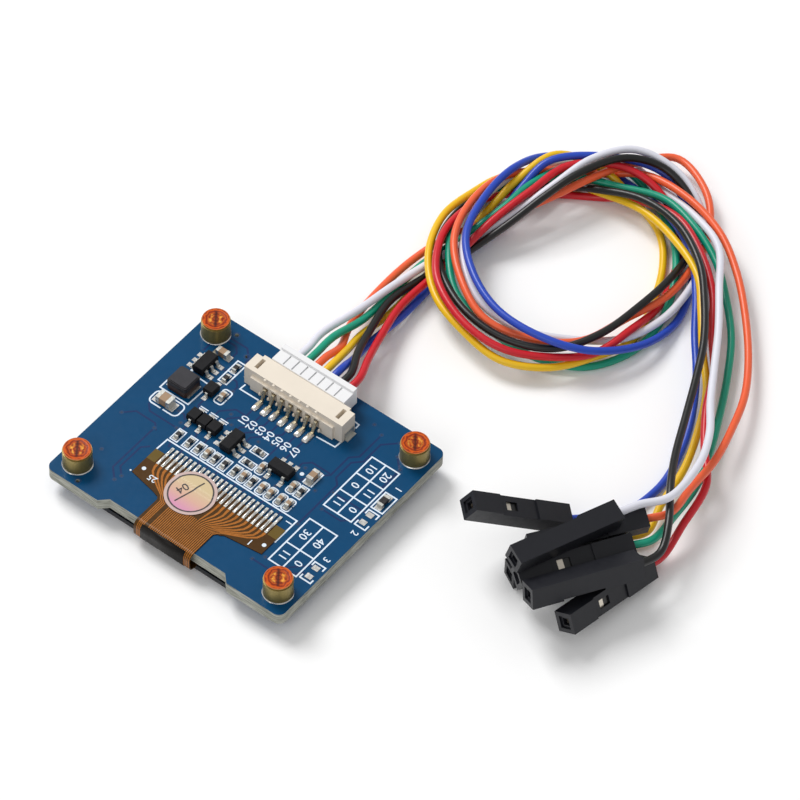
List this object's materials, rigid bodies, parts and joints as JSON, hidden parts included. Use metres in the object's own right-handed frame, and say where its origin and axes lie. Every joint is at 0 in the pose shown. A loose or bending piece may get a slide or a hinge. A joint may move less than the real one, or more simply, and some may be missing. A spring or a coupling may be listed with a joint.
{
  "type": "oled display module",
  "caption": "Small OLED display on a blue circuit board, shown from behind, with folded flex cable, threaded standoffs, side-entry header and a coloured wire lead with single sockets",
  "frame": {"origin": "bottom centre of the module, which lies display down; the lead is not counted", "axes": "+X along the flex cable's edge, +Y from that edge to the header's edge, +Z out of the component side"},
  "size_m": [0.0634, 0.0857, 0.0101],
  "materials": {
    "solder_mask": "gloss blue mask",
    "panel_glass": "dark gloss",
    "polariser": "gloss",
    "foam": "matte foam",
    "flex": "satin film",
    "tinned": "soft bright",
    "tape": "matte",
    "label": "satin",
    "plated_brass": "satin",
    "amber_film": "translucent film",
    "cream_plastic": "satin",
    "gold": "bright",
    "white_plastic": "satin",
    "ferrite": "matte",
    "mould": "matte",
    "resistor_body": "satin",
    "capacitor_body": "satin",
    "insulation_white": "satin",
    "insulation_green": "satin",
    "insulation_orange": "satin",
    "insulation_yellow": "satin",
    "insulation_blue": "satin",
    "insulation_black": "satin",
    "insulation_red": "satin",
    "shell_plastic": "satin"
  },
  "bodies": {
    "root": {"circuit_board": "solder_mask", "display_glass": "panel_glass", "cover_glass": "panel_glass", "polariser": "polariser", "foam_pad": "foam", "flex_cable": "flex", "flex_fingers": "tinned", "fold_tape": "tape", "sticker": "label", "standoff_1": "plated_brass", "standoff_2": "plated_brass", "standoff_3": "plated_brass", "standoff_4": "plated_brass", "pickup_dot_1": "amber_film", "pickup_dot_2": "amber_film", "pickup_dot_3": "amber_film", "pickup_dot_4": "amber_film", "header_housing": "cream_plastic", "header_pins": "gold", "header_tabs": "tinned", "plug_housing": "white_plastic", "plug_terminals": "gold", "inductor": "ferrite", "boost_converter": "mould", "level_shifter": "mould", "regulator": "mould", "package_leads": "tinned", "diode_1": "mould", "diode_2": "mould", "diode_3": "mould", "diode_4": "mould", "diode_leads": "tinned", "resistors": "resistor_body", "resistor_ends": "tinned", "capacitors": "capacitor_body", "capacitor_ends": "tinned", "solder_pads": "tinned", "wire_white": "insulation_white", "wire_green": "insulation_green", "wire_orange": "insulation_orange", "wire_yellow": "insulation_yellow", "wire_blue": "insulation_blue", "wire_black": "insulation_black", "wire_red": "insulation_red", "shell_white": "shell_plastic", "shell_green": "shell_plastic", "shell_orange": "shell_plastic", "shell_yellow": "shell_plastic", "shell_blue": "shell_plastic", "shell_black": "shell_plastic", "shell_red": "shell_plastic", "contact_white": "gold", "contact_green": "gold", "contact_orange": "gold", "contact_yellow": "gold", "contact_blue": "gold", "contact_black": "gold", "contact_red": "gold"}
  },
  "joints": []
}
